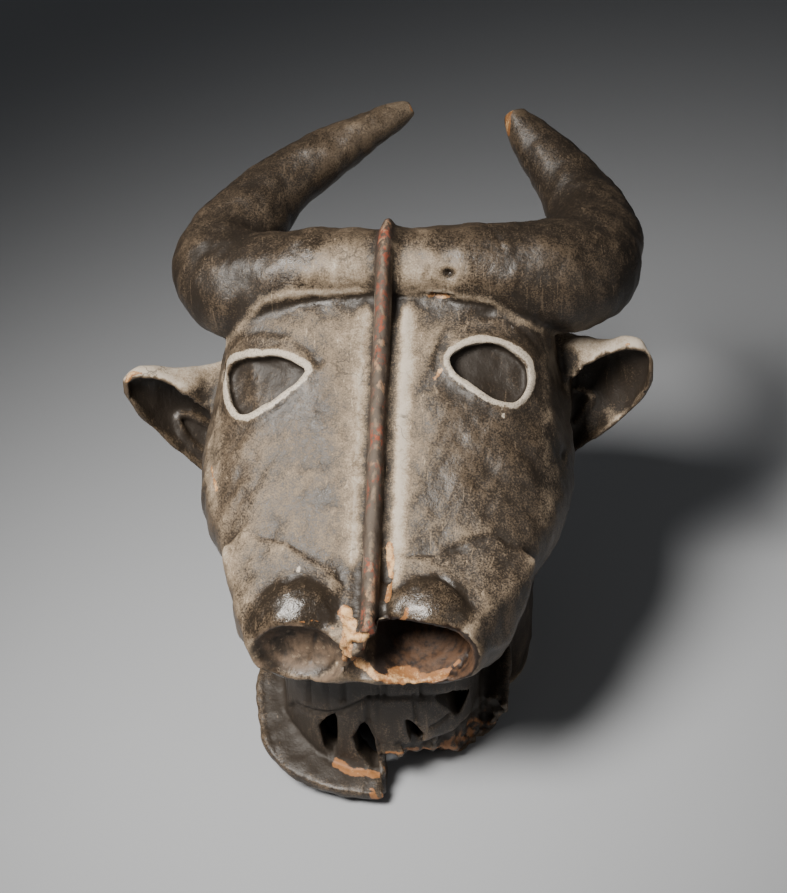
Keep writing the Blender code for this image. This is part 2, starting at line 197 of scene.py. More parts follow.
def pipe_surface(centre, radius, around=48, closed=False):
    """Circles of a given radius square to a path: c + r (a cos t + b sin t)."""
    if closed:
        along = np.roll(centre, -1, axis=0) - np.roll(centre, 1, axis=0)
    else:
        along = np.gradient(centre, axis=0)
    along /= np.linalg.norm(along, axis=1)[:, None]
    aside = np.array([0.31, 0.22, 0.93])  # a direction that no path here takes
    across = np.cross(along, aside)
    across /= np.linalg.norm(across, axis=1)[:, None]
    other = np.cross(across, along)
    t = once_round(around)[..., None]
    circle = across[:, None] * np.cos(t) + other[:, None] * np.sin(t)
    return centre[:, None] + radius[:, None, None] * circle


horn_rows = [smooth_rows(table, 120) for table in (LEFT_HORN, RIGHT_HORN)]
horns = [skin("horn", pipe_surface(rows[:, :3], rows[:, 3], around=72)) for rows in horn_rows]

# Ears
# Each ear is a thin scoop that opens forwards, with a roof that falls to the front at its root and a
# small raised leaf round the dark ear hole. The right ear sits higher than the left.
LEFT_EAR = (  # distance out, front, back, underside, top and rise to the back
    (96, -4, 56, 138, 199, 1.1),
    (127, 2, 50, 142, 206, 1.0),
    (143, 5, 44, 149, 216, 0.5),
    (159, 9, 37, 161, 223, 0.1),
    (175, 11, 29, 182, 227, 0.0),
    (184, 12, 21, 201, 224, 0.0),
    (188, 14, 17, 209, 219, 0.0),
)
RIGHT_EAR = (
    (96, -4, 56, 162, 228, 1.1),
    (120, 1, 52, 166, 236, 1.0),
    (135, 4, 46, 171, 245, 0.6),
    (150, 7, 41, 180, 251, 0.2),
    (165, 10, 33, 193, 257, 0.0),
    (175, 11, 27, 208, 257, 0.0),
    (181, 12, 20, 222, 250, 0.0),
    (184, 14, 17, 231, 242, 0.0),
)
EARS = ((LEFT_EAR, -1), (RIGHT_EAR, 1))  # and the side of each
EAR_SQUARE_DEPTH = 2.4
EAR_SQUARE_HEIGHT = 2.2
EAR_ROOT = 125  # where the scoop starts, just outside the cheek
EAR_WALL = 3.6
TIP_WALLS = 1.2  # wood left at the tip of the ear, in walls
SCOOP_OPEN = 30  # how far the scoop reaches past the front of the ear
EAR_LEAVES = (  # the raised leaf round each ear hole
    (
        (-154, 32, 176), (-147, 35, 175), (-139, 36, 170), (-131, 36, 162), (-127, 33, 152),
        (-131, 26, 146), (-141, 24, 153), (-148, 26, 161), (-152, 28, 168),
    ),
    (
        (118, 39, 195), (127, 39, 199), (134, 39, 199), (140, 36, 196), (139, 34, 191),
        (133, 31, 183), (127, 27, 176), (119, 27, 171), (115, 34, 180),
    ),
)
LEAF_RADIUS = 2.6


def ear_surface(table, side, scoop=False, levels=70, around=72):
    """Squared ovals out along the ear; the scoop inside is smaller by the wall and open to the front."""
    rows = smooth_rows(table, levels)
    if scoop:
        rows = rows[(rows[:, 0] >= EAR_ROOT) & (rows[:, 0] <= table[-1][0] - EAR_WALL * TIP_WALLS)]
    out, front, back, low, high, rise = (column[:, None] for column in rows.T)
    middle = (front + back) / 2
    height = (high - low) / 2
    if scoop:
        height = height - EAR_WALL
        front, back = front - SCOOP_OPEN, back - EAR_WALL
    t = once_round(around)
    y = (front + back) / 2 + (back - front) / 2 * power(np.cos(t), 2 / EAR_SQUARE_DEPTH)
    z = (low + high) / 2 + height * power(np.sin(t), 2 / EAR_SQUARE_HEIGHT) + rise * (y - middle)
    grid = np.stack(np.broadcast_arrays(side * out, y, z), -1)
    return grid[height[:, 0] > 0.5]  # a ring under a millimetre high is left out


def bar_of(name, path, radius, around=20):
    """Round bar along a path that closes on itself."""
    return skin(name, pipe_surface(path, np.full(len(path), radius), around, closed=True), endless=True)


ears = [skin("ear", ear_surface(table, side)) for table, side in EARS]
ear_scoops = [skin("scoop", ear_surface(table, side, scoop=True)) for table, side in EARS]
leaves = [bar_of("ear_leaf", smooth_rows(leaf, 60, closed=True), LEAF_RADIUS) for leaf in EAR_LEAVES]

# Muzzle
# A squared snout grows out of the face. Two broad pads lie on it like wings, and a polished hood
# stands over each nostril. The left nostril is a shallow cup, the right one is bored deep.
MUZZLE = (  # place along Y, half width, underside and top
    (-60, 88, 66, 150),
    (-100, 88, 84, 186),
    (-130, 86, 97, 192),
    (-155, 83, 108, 184),
    (-175, 80, 118, 175),
    (-190, 75, 125, 168),
    (-195, 66, 129, 160),
)
MUZZLE_SQUARE = 2.6
WINGS = (  # corners of the two pads
    (
        (-28, -146, 190), (-58, -131, 202), (-85, -122, 201), (-101, -128, 186), (-97, -142, 164),
        (-88, -165, 142), (-80, -186, 150), (-66, -188, 166), (-30, -180, 177), (-20, -160, 186),
        (-90, -118, 132), (-80, -150, 114), (-60, -180, 122), (-20, -180, 118), (-20, -100, 112),
        (-60, -90, 150), (-20, -90, 150),
    ),
    (
        (16, -146, 194), (45, -138, 199), (82, -123, 201), (108, -128, 183), (104, -142, 162),
        (92, -165, 142), (76, -186, 152), (66, -188, 168), (28, -180, 178), (14, -160, 187),
        (94, -118, 132), (84, -150, 114), (60, -180, 122), (20, -180, 118), (20, -100, 112),
        (62, -90, 150), (20, -90, 150),
    ),
)
HOODS = (  # centre and radii
    ((-46, -165, 150), (37, 30, 38)),
    ((39, -165, 152), (37, 30, 39)),
)
NOSTRILS = (  # centre and radii of the left cup, the right bore and the nick between them
    ((-47, -198, 150), (33, 22, 25)),
    ((33, -196, 152), (37, 50, 25)),
    ((-3, -200, 143), (13, 14, 14)),
)
TO_THE_POLE = 0.985  # where a flat cap closes a ball


def snout_surface(levels=60, around=120):
    """Squared ovals along Y between the underside and the top."""
    place, half, low, high = (column[:, None] for column in smooth_rows(MUZZLE, levels).T)
    t = once_round(around)
    x = half * power(np.cos(t), 2 / MUZZLE_SQUARE)
    z = (low + high) / 2 + (high - low) / 2 * power(np.sin(t), 2 / MUZZLE_SQUARE)
    return np.stack(np.broadcast_arrays(x, place, z), -1)


def ball_surface(centre, radii, levels=60, around=96):
    """Stretched ball: c + r (cos v cos t, cos v sin t, sin v), nearly from one pole to the other."""
    latitude = np.linspace(-1, 1, levels)[:, None] * math.pi / 2 * TO_THE_POLE
    t = once_round(around)
    ring = np.cos(latitude)
    unit = np.broadcast_arrays(ring * np.cos(t), ring * np.sin(t), np.sin(latitude))
    return np.array(centre) + np.stack(unit, -1) * np.array(radii)


def slab(name, corners):
    """The tightest solid round its corners, with flat sides."""
    solid = bmesh.new()
    for corner in corners:
        solid.verts.new(Vector(corner) / MM)
    hull = bmesh.ops.convex_hull(solid, input=solid.verts)
    loose = [vert for vert in hull["geom_interior"] if isinstance(vert, bmesh.types.BMVert)]
    bmesh.ops.delete(solid, geom=loose, context="VERTS")
    bmesh.ops.recalc_face_normals(solid, faces=solid.faces)
    return on_bench(name, solid)


muzzle = [skin("snout", snout_surface())]
muzzle += [slab("wing", wing) for wing in WINGS]
muzzle += [skin("hood", ball_surface(*hood)) for hood in HOODS]
nostril_cuts = [skin("nostril", ball_surface(*nostril)) for nostril in NOSTRILS]

# Jaw and teeth
# A flat lip runs round the lower jaw, with a curved wall of teeth inside it. Gaps are cut between the
# teeth. The right front of the lip is broken away, and one splinter of it stands at the side.
JAW = ((90, -20), (90, -74), (89, -110), (81, -141), (63, -163), (34, -176), (0, -180))  # x and y
JAW_SHIFT = -2  # the jaw hangs a little to the left
UNDER_FLOOR = -8  # the forms run on to here, until the rim is sawn flat
LIP_FRONT = -185
LIP_HEIGHT = 14  # at its front
LIP_SLOPE = 0.276
LIP_WIDTH = 21
LIP_STAGES = (  # inset, height and rise to the back
    (20, UNDER_FLOOR, 0), (14, 2, 0), (2, LIP_HEIGHT - 8, LIP_SLOPE), (0, LIP_HEIGHT, LIP_SLOPE),
)
TEETH_DEPTH = 18
TEETH_TOP = 112
CAVITY_LEVELS = (-30, 104)  # under the floor and behind the teeth
GAPS = (  # x and z of the corners
    ((-27, 66), (-34, 60), (-41, 49), (-38, 31), (-30, 21)),
    ((-9, 62), (-17, 47), (-14, 31), (-4, 19), (0, 19), (-2, 45)),
    ((17, 67), (24, 60), (31, 47), (29, 33), (22, 42)),
    ((37, 78), (54, 72), (61, 61), (53, 48), (48, 60)),
)
BREAK = (  # x and y of the line of the break, closed round the outside of the jaw
    (3, -205), (4, -180), (9, -168), (4, -160), (15, -157), (18, -149), (33, -143), (38, -146),
    (41, -137), (50, -131), (57, -115), (63, -106), (70, -100), (75, -103), (84, -110), (120, -116),
    (120, -205),
)
FOOT_BREAK = (  # y and z of the break in the foot of the teeth
    (-220, -20), (-110, -20), (-122, 4), (-134, 17), (-146, 26), (-156, 33), (-170, 40), (-220, 44),
)
SIDE_BREAK = ((66, -20), (72, 0), (84, 27), (95, 70), (98, 100), (150, 100), (150, -20))  # x and z
SIDE_BREAK_RUN = 30  # in X, from its front to its back
MOUTH = (  # y and z of the mouth, open to the front
    (-260, -10), (-200, LIP_HEIGHT - 4), (-56, LIP_HEIGHT + LIP_SLOPE * (-56 - LIP_FRONT)), (-74, 66),
    (-100, 82), (-130, 94), (-155, 107), (-175, 116), (-196, 123), (-260, 136),
)
GAP_REACH = (-185, -115)  # in Y
BREAK_REACH = (-20, 40)  # in Z
FOOT_BREAK_REACH = (4, 68)  # in X
SIDE_BREAK_REACH = (-215, -10)  # in Y
MOUTH_REACH = (-150, 150)  # in X


def jaw_surface(stages, steps=200):
    """Outline of the jaw drawn in at its sides and front, at heights that may rise to the back."""
    half = np.array(JAW, float)
    curve = smooth_rows(np.vstack([half, (half * (-1, 1))[-2::-1]]), steps)
    wide, back, front = JAW[0][0], JAW[0][1], JAW[-1][1]
    inset, height, rise = (np.array(column, float)[:, None] for column in zip(*stages))
    x = JAW_SHIFT + curve[None, :, 0] * (wide - inset) / wide
    y = back + (curve[None, :, 1] - back) * (back - front - inset) / (back - front)
    return np.stack([x, y, height + rise * (y - LIP_FRONT)], -1)


def drawn_out(outline, reach, axis):
    """Outline of x and y drawn out along Z, of x and z along Y, or of y and z along X."""
    outline = np.array(outline, float)
    grid = np.stack([np.column_stack([outline, np.full(len(outline), level)]) for level in reach])
    return grid[:, :, {"Z": [0, 1, 2], "Y": [0, 2, 1], "X": [2, 0, 1]}[axis]]


lip = skin("lip", jaw_surface(LIP_STAGES))
teeth = skin("teeth", jaw_surface(((LIP_WIDTH, UNDER_FLOOR, 0), (LIP_WIDTH, TEETH_TOP, 0))))
mouth_hollow = skin("mouth_hollow", jaw_surface([(LIP_WIDTH + TEETH_DEPTH, z, 0) for z in CAVITY_LEVELS]))
gap_cuts = [skin("gap", drawn_out(gap, GAP_REACH, "Y")) for gap in GAPS]
side_split = drawn_out(SIDE_BREAK, SIDE_BREAK_REACH, "Y")
side_split[1, :, 0] += SIDE_BREAK_RUN
break_cuts = [
    skin("break", drawn_out(BREAK, BREAK_REACH, "Z")),
    skin("foot_break", drawn_out(FOOT_BREAK, FOOT_BREAK_REACH, "X")),
    skin("side_break", side_split),
]
mouth_cut = skin("mouth", drawn_out(MOUTH, MOUTH_REACH, "X"))

# Crest and eyes
# A narrow crest runs from the poll over the brow to the nose. The eyes are almonds sunk flat into the
# face inside a raised rim, which is painted white.
RIDGE = (  # x, y and z of its foot
    (3, 56, 308), (3, 42, 325), (3, 26, 336), (2, 8, 329), (1, -2, 312), (1, -20, 292), (1, -54, 266),
    (1, -87, 241), (1, -120, 216), (1, -150, 193), (1, -176, 176), (1, -190, 168),
)
RIDGE_WIDTH = 14.5
RIDGE_HEIGHT = 10
LEFT_EYE = (  # x and z of the rim
    (-108, 252), (-105, 260), (-99, 266), (-90, 271), (-79, 274), (-68, 276), (-57, 275), (-47, 272),
    (-52, 267), (-60, 262), (-70, 255), (-79, 250), (-88, 245), (-97, 243), (-104, 245),
)
RIGHT_EYE = (
    (45, 277), (51, 281), (60, 283), (70, 283), (81, 280), (91, 275), (98, 269), (101, 262),
    (99, 256), (93, 253), (85, 254), (75, 258), (65, 263), (55, 268), (48, 272),
)
EYES = (LEFT_EYE, RIGHT_EYE)
EYE_RIM = 3.0  # half its thickness
RIM_STANDS = 1.4  # height of the flat of the rim over the face
RIM_STEPS = 120
EYE_SINK = 0.93  # outline of the sunk eye, as a share of the middle line of its rim
EYE_DEPTH = 8
EYE_CUT_STARTS = 20  # over the face


def crest_surface(levels=160, around=24):
    """Ovals square to the line of the crest."""
    centre = smooth_rows(RIDGE, levels)
    along = np.gradient(centre, axis=0)
    along /= np.linalg.norm(along, axis=1)[:, None]
    sideways = np.array([1.0, 0, 0])
    out = np.cross(sideways, along)
    t = once_round(around)[..., None]
    sides = RIDGE_WIDTH / 2 * np.cos(t) * sideways
    return centre[:, None] + sides + RIDGE_HEIGHT * np.sin(t) * out[:, None]



def on_face(outline):
    """Points of x and z laid on the face."""
    return np.stack([outline[:, 0], face_at(outline[:, 0], outline[:, 1]), outline[:, 1]], -1)


def eye_out(table):
    """Direction square to the face at the middle of an eye, from the slopes across and up the face."""
    x, z = smooth_rows(table, 48, closed=True).mean(0)
    reach = 12
    along = np.array([2 * reach, face_at(x + reach, z) - face_at(x - reach, z), 0])
    rising = np.array([0, face_at(x, z + reach) - face_at(x, z - reach), 2 * reach])
    out = np.cross(along, rising)
    return out / np.linalg.norm(out)


def eye_rim_path(table, steps=RIM_STEPS):
    """Smooth closed curve through the rim's points, laid on the face."""
    return on_face(smooth_rows(table, steps, closed=True))


def eye_cut(table):
    """Straight-sided sink inside the rim: its outline drawn in to its middle, and pushed into the face."""
    outline = smooth_rows(table, RIM_STEPS, closed=True)
    outline = outline.mean(0) + (outline - outline.mean(0)) * EYE_SINK
    surface = on_face(outline)
    out = eye_out(table)
    return skin("eye_sink", np.stack([surface + out * EYE_CUT_STARTS, surface - out * EYE_DEPTH]))


crest = skin("crest", crest_surface())
eye_rims = [bar_of("eye_rim", eye_rim_path(table), EYE_RIM) for table in EYES]
eye_cuts = [eye_cut(table) for table in EYES]

# Carving from one block
# The forms melt into one skin, the mouth, hollows and sinks are cut out of it, and the whole is given
# an even, fine skin for the marks of the tools.
CARVING_GRAIN = 2.2  # size of the facets that the forms are melted into
HOLLOW_GRAIN = 3.0
BORE_GRAIN = 1.5
FINE_GRAIN = 1.45


def joined(name, objects):
    """Lays objects together as one, with their meshes as they are."""
    solid = bmesh.new()
    for obj in objects:
        solid.from_mesh(obj.data)
        bpy.data.objects.remove(obj)
    return on_bench(name, solid)


def settle(obj):
    """Replaces a mesh by the result of its modifiers."""
    mesh = bpy.data.meshes.new_from_object(obj.evaluated_get(bpy.context.evaluated_depsgraph_get()))
    obj.modifiers.clear()
    obj.data = mesh


def melt(obj, grain):
    """Runs overlapping forms together into one skin of even facets."""
    modifier = obj.modifiers.new("melt", "REMESH")
    modifier.mode = "VOXEL"
    modifier.voxel_size = grain / MM
    settle(obj)


def cut(obj, cutter):
    """Takes the cutter's volume out of an object."""
    modifier = obj.modifiers.new("cut", "BOOLEAN")
    modifier.operation = "DIFFERENCE"
    modifier.solver = "EXACT"
    modifier.object = cutter
    settle(obj)
    bpy.data.objects.remove(cutter)


block = joined("block", [head] + muzzle)
melt(block, CARVING_GRAIN)
cut(block, mouth_cut)
block = joined("block", [block, lip, teeth, crest] + horns + ears + eye_rims)
melt(block, CARVING_GRAIN)
hollow = joined("hollow", [head_hollow, mouth_hollow])
melt(hollow, HOLLOW_GRAIN)
cut(block, hollow)
bores = joined("bores", nostril_cuts)
melt(bores, BORE_GRAIN)
cut(block, bores)
cut(block, joined("small_cuts", eye_cuts + gap_cuts + ear_scoops))
for break_cut in break_cuts:
    cut(block, break_cut)
block = joined("block", [block] + leaves)
melt(block, FINE_GRAIN)

# Marks of the tools, breaks and wear
# Each mark moves the skin in or out along its own direction: grooves follow a line, hollows a spot,
# and the unevenness of the adze is a sum of waves.
ADZE = ((0.45, 30, 1, (1, 1, 1.6)), (0.22, 11, 2, (1, 1, 2.2)))  # height, length, seed and stretch
CREST_MIDDLE = 1  # in X
BESIDE_CREST = ((-0.9, 9.5, 2.6), (0.8, 15.5, 3.5))  # height, distance from the crest and half width
FOREHEAD_EDGE = (
    (-108, 4, 262), (-98, -2, 279), (-82, 0, 299), (-63, 0, 305), (-22, 3, 306), (15, 4, 304), (45, 2, 306),
    (72, 1, 301), (92, -1, 286), (109, 5, 275), (124, 33, 250),
)
FOREHEAD_STEPS = ((1.0, (0, 0, 0), 2.4), (0.9, (0, 3, 5), 3.5))  # height, offset and half width
PAD_CREASES = (
    (
        (-98, -113, 186), (-90, -122, 192), (-79, -126, 197), (-59, -134, 199), (-47, -140, 196),
        (-30, -148, 188),
    ),
    ((14, -142, 196), (45, -141, 195), (68, -131, 200), (82, -124, 200), (94, -125, 190)),
)
HOOD_CREASES = (
    (
        (-76, -172, 160), (-70, -171, 174), (-55, -162, 186), (-36, -152, 187), (-20, -155, 184),
        (-12, -163, 176),
    ),
    (
        (12, -156, 186), (19, -150, 188), (36, -149, 189), (53, -160, 188), (66, -169, 177),
        (70, -175, 166),
    ),
)
BROWS = (  # x and z on the face
    ((-106, 262), (-104, 268), (-94, 277), (-80, 283), (-63, 284), (-49, 280), (-40, 274)),
    ((37, 276), (41, 284), (48, 290), (66, 293), (86, 288), (99, 278), (107, 266)),
)
TEETH_LINE = (
    (-64, -125, 42), (-58, -135, 55), (-49, -145, 60), (-32, -154, 64), (-18, -158, 74), (-4, -159, 84),
    (19, -156, 84), (36, -150, 79), (52, -139, 72),
)
TEETH_SLOTS = (
    ((-33, -156, 66), (-34, -154, 90)), ((-7, -159, 60), (-5, -159, 84)),
    ((0, -159, 40), (-5, -159, 62)), ((4, -159, 23), (0, -159, 40)),
    ((36, -150, 52), (47, -143, 56)), ((27, -155, 62), (26, -155, 84)),
    ((-47, -146, 68), (-46, -146, 108)), ((-22, -157, 79), (-21, -157, 110)),
    ((6, -159, 85), (7, -159, 112)), ((31, -153, 80), (32, -153, 112)),
    ((54, -139, 74), (55, -139, 108)), ((-66, -124, 48), (-66, -124, 100)),
    ((68, -124, 60), (68, -124, 104)),
)
JAW_CRACK = ((2, -159, 92), (1, -160, 60), (2, -161, 30), (0, -168, 17), (2, -176, 14))
LIP_LINE = (
    (-86, -90, 40), (-83, -112, 34), (-79, -133, 28), (-71, -152, 23), (-60, -165, 17), (-47, -171, 14),
    (-33, -175, 15), (-19, -177, 15), (-3, -177, 16),
)
LIP_FOOT = (
    (-70, -118, 33), (-56, -139, 30), (-43, -151, 25), (-31, -157, 22), (-20, -161, 21), (0, -162, 20),
)
NOSTRIL_CLEFT = ((-33, -178, 162), (-36, -177, 151), (-39, -181, 135))
BROW_SCRATCH = ((31, 6, 324), (29, 4, 319), (27, 3, 314))
HORN_SCRATCH = ((70, 36, 338), (76, 24, 337), (81, 14, 333))
GROOVES = (  # depth, half width and lines
    (1.9, 2.2, PAD_CREASES),
    (2.6, 1.9, HOOD_CREASES),
    (1.2, 2.8, [on_face(np.array(brow, float)) for brow in BROWS]),
    (3.0, 1.6, [TEETH_LINE]),
    (2.6, 1.5, TEETH_SLOTS),
    (2.4, 1.1, [JAW_CRACK]),
    (0.8, 1.1, [LIP_LINE]),
    (1.5, 1.5, [LIP_FOOT]),
    (2.2, 1.6, [NOSTRIL_CLEFT]),
    (1.2, 1.0, [BROW_SCRATCH]),
    (0.9, 1.2, [HORN_SCRATCH]),
)
BROW_BOSSES = (  # centre and radii
    ((-36, 2, 318), (24, 22, 14)),
    ((40, 2, 320), (26, 22, 14)),
)
BOSS_HEIGHT = 2.6
BROW_CRACK = ((37, 3, 304), (12, 5, 2.2))  # centre and radii
BROW_CRACK_DEPTH = 4.0
HOLES = (  # depth, centre and radii: in the brow, at the foot of the crest and in the right cheek
    (6.0, (45, 3, 321), (3.5, 5, 2.2)),
    (6.0, (11, -183, 174), (4, 5, 4)),
    (2.5, (125, -46, 208), (6, 6, 4)),
)
SEPTUM = ((-13, -178, 175), (-5, -188, 176), (-4, -193, 168), (-10, -195, 158), (-13, -195, 146))
BORE_RIM = (
    (-6, -195, 143), (8, -195, 133), (21, -194, 130), (37, -191, 129), (53, -184, 134), (63, -179, 142),
)
CHIPPED = (  # line and half width, depth and its unevenness, and length and seed of that
    (SEPTUM, 7.0, 1.5, 1.3, 7, 5),
    (BORE_RIM, 4.5, 1.0, 1.1, 6, 6),
)
BREAK_LEVEL = 14  # of the line of the lip's break
BREAK_FLAT = 0.15  # share of a height that counts in the distance from it
FOOT_MIDDLE = 36  # in X, of the line of the foot's break
FOOT_FLAT = 0.02  # share of a distance across that counts there
RIM_PRESSED = 0.75  # share taken off what stands over the flat of the rim
PINCH = 0.3  # share taken off the width of the crest at its top
INSIDE = 0.02  # the solid's box, on every side


def points_of(mesh):
    """Place in the scene, in millimetres, and outward direction of every point of a mesh."""
    count = len(mesh.vertices)
    place, out = np.empty(count * 3), np.empty(count * 3)
    mesh.vertices.foreach_get("co", place)
    mesh.vertex_normals.foreach_get("vector", out)
    return place.reshape(-1, 3) * MM, out.reshape(-1, 3)


def waves(points, length, seed, stretch=(1.0, 1.0, 1.0), count=28):
    """Unevenness with a spread of about 1: sum of cos(k.p + phase), k random and near 2 pi / length."""
    random = np.random.default_rng(seed)
    k = random.normal(size=(count, 3))
    k *= (2 * math.pi / length * random.uniform(0.7, 1.5, count) / np.linalg.norm(k, axis=1))[:, None]
    phase = random.uniform(0, 2 * math.pi, count)
    return np.cos((points / np.array(stretch)) @ k.T + phase).sum(1) * math.sqrt(2 / count)


def line_distance(points, line):
    """Distance to a line of straight pieces, less its radius where a fourth column gives one: the
    least over its pieces of |p - (a + t (b - a))| - r."""
    line = np.array(line, float)
    radius = line[:, 3] if line.shape[1] > 3 else np.zeros(len(line))
    least = np.full(len(points), 1e9)
    for a, b, r, s in zip(line[:-1, :3], line[1:, :3], radius[:-1], radius[1:]):
        span = b - a
        t = np.clip((points - a) @ span / (span @ span), 0, 1)
        from_line = np.linalg.norm(points - a - t[:, None] * span, axis=1)
        least = np.minimum(least, from_line - (r + t * (s - r)))
    return least


def groove(points, line, width):
    """exp(-(d / width)^2) of the distance d to a line: 1 on it, fading to its sides."""
    return np.exp(-(line_distance(points, line) / width) ** 2)


def spot(points, centre, radii):
    """exp(-|(p - c) / r|^2): 1 at the centre of a spot, fading out by its radii."""
    return np.exp(-(((points - np.array(centre, float)) / np.array(radii, float)) ** 2).sum(1))


def step(values, start, end):
    """Smooth step from 0 at start to 1 at end."""
    t = np.clip((values - start) / (end - start), 0, 1)
    return t * t * (3 - 2 * t)


def torn(points, lip_width, foot_width, lip_top):
    """Grooves along the breaks, with heights at the lip and widths at the foot counting for little."""
    flat = points * (1, 1, BREAK_FLAT) + (0, 0, BREAK_LEVEL * (1 - BREAK_FLAT))
    lip = groove(flat, break_line, lip_width) * step(-points[:, 2], -lip_top, 10 - lip_top)
    narrow = (points - (FOOT_MIDDLE, 0, 0)) * (FOOT_FLAT, 1, 1) + (FOOT_MIDDLE, 0, 0)
    in_foot = step(points[:, 0], 1, 6) * step(-points[:, 0], -74, -66)
    return np.maximum(lip, groove(narrow, foot_line, foot_width) * in_foot)


def pinched_crest(points):
    """Draws the crest in to a keel: x - middle shrinks by up to the pinch, more with its height."""
    from_foot = line_distance(points, crest_path)
    beside = points[:, 0] - CREST_MIDDLE
    inside = step(-np.abs(beside), -10, -8) * step(-from_foot, -15, -13)
    points[:, 0] = CREST_MIDDLE + beside * (1 - PINCH * step(from_foot, 4.5, 9) * inside)
    return points


def from_rim(points, table):
    """Distance to the closed middle line of an eye's rim."""
    path = eye_rim_path(table, 48)
    return line_distance(points, np.vstack([path, path[:1]]))


def pressed_rim(points, table):
    """Flattens the rim: a height over the face above RIM_STANDS keeps a quarter of what is more."""
    square = eye_out(table)
    height = (points[:, 1] - face_at(points[:, 0], points[:, 2])) * square[1]
    near = step(-from_rim(points, table), -7, -5)
    extra = np.maximum(height - RIM_STANDS, 0) * near * RIM_PRESSED
    return points - square * extra[:, None]


mesh = block.data
place, out = points_of(mesh)
crest_path = smooth_rows(RIDGE, 60)
break_line = [(x, y, BREAK_LEVEL) for x, y in BREAK[1:-1]]
foot_line = [(FOOT_MIDDLE, y, z) for y, z in FOOT_BREAK[1:-1]]

relief = sum(height * waves(place, *wave) for height, *wave in ADZE) * step(place[:, 2], 2, 8)
beside_crest = np.abs(place[:, 0] - CREST_MIDDLE)
on_crest = groove(place, crest_path, 9) * step(-beside_crest, -7, -5)
relief -= on_crest * np.maximum(waves(place, 8, 3, (1.6, 1, 1)), 0) * 0.8
down_face = step(-place[:, 1], -8, 8) * step(place[:, 2], 150, 172)
for height, distance, width in BESIDE_CREST:
    relief += height * np.exp(-((beside_crest - distance) / width) ** 2) * down_face
for height, offset, width in FOREHEAD_STEPS:
    relief += height * groove(place + offset, FOREHEAD_EDGE, width)
for depth, width, paths in GROOVES:
    for path in paths:
        relief -= depth * groove(place, path, width)
relief += BOSS_HEIGHT * sum(spot(place, *boss) for boss in BROW_BOSSES)
relief -= BROW_CRACK_DEPTH * spot(place, *BROW_CRACK) * (1 + 0.4 * waves(place, 5, 4))
for depth, *hole in HOLES:
    relief -= depth * spot(place, *hole)
for path, width, depth, uneven, length, seed in CHIPPED:
    relief -= groove(place, path, width) * (depth + uneven * waves(place, length, seed))
jagged = 1.2 * waves(place, 10, 7) + 0.35 * waves(place, 5, 8) - 0.5
relief += torn(place, 5.0, 4.5, 48) * jagged
place = pinched_crest(place + out * relief[:, None])
for table in EYES:
    place = pressed_rim(place, table)

# The plan is centred over the origin and the rim is sawn flat at the floor.
low, high = (np.array(corner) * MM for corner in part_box("mask"))
middle = (place.min(0) + place.max(0)) / 2
shift = np.array([*((low + high) / 2 - middle)[:2], 0.0])
placed = np.clip(place + shift, low + INSIDE, high - INSIDE)
mesh.vertices.foreach_set("co", (placed / MM).ravel())
mesh.update()

# Fewer facets
# The plain inside and back give up more facets than the carved face does. Each point belongs to the
# group by how plain it is, in tenths.
MOST_FACETS = 186000
PLAIN_FACE = 0.12  # how plain the face counts, from 0 to 1
PLAIN_HOLLOW = 0.88  # more than the face
PLAIN_BACK = 0.5  # more than the face
PLAIN_LEVELS = 10
PLAIN_COUNTS = 4.0  # how strongly a plain place is thinned

down = placed - shift
rows = smooth_rows(HEAD_LEVELS, 200)
half, front, widest, back = (np.interp(down[:, 2], rows[:, 0], rows[:, k]) for k in (1, 2, 3, 4))
depth = np.where(down[:, 1] < widest, widest - front, back - widest)
share = np.hypot((down[:, 0] - HEAD_SHIFT) / half, (down[:, 1] - widest) / depth)
in_hollow = step(-share, -0.93, -0.85) * step(-down[:, 2], -300, -290) * step(down[:, 1], -104, -96)
at_back = step(down[:, 1], 40, 70) * step(-down[:, 2], -262, -250)
plain = np.clip(PLAIN_FACE + np.maximum(PLAIN_HOLLOW * in_hollow, PLAIN_BACK * at_back), 0, 1)
group = block.vertex_groups.new(name="plain")
for level in range(1, PLAIN_LEVELS + 1):
    members = np.flatnonzero(np.ceil(plain * PLAIN_LEVELS).astype(int) == level)
    group.add(members.tolist(), level / PLAIN_LEVELS, "REPLACE")
facets = sum(len(face.vertices) - 2 for face in mesh.polygons)
thin = block.modifiers.new("facets", "DECIMATE")
thin.ratio = MOST_FACETS / facets
thin.vertex_group = "plain"
thin.vertex_group_factor = PLAIN_COUNTS
settle(block)
block.vertex_groups.clear()

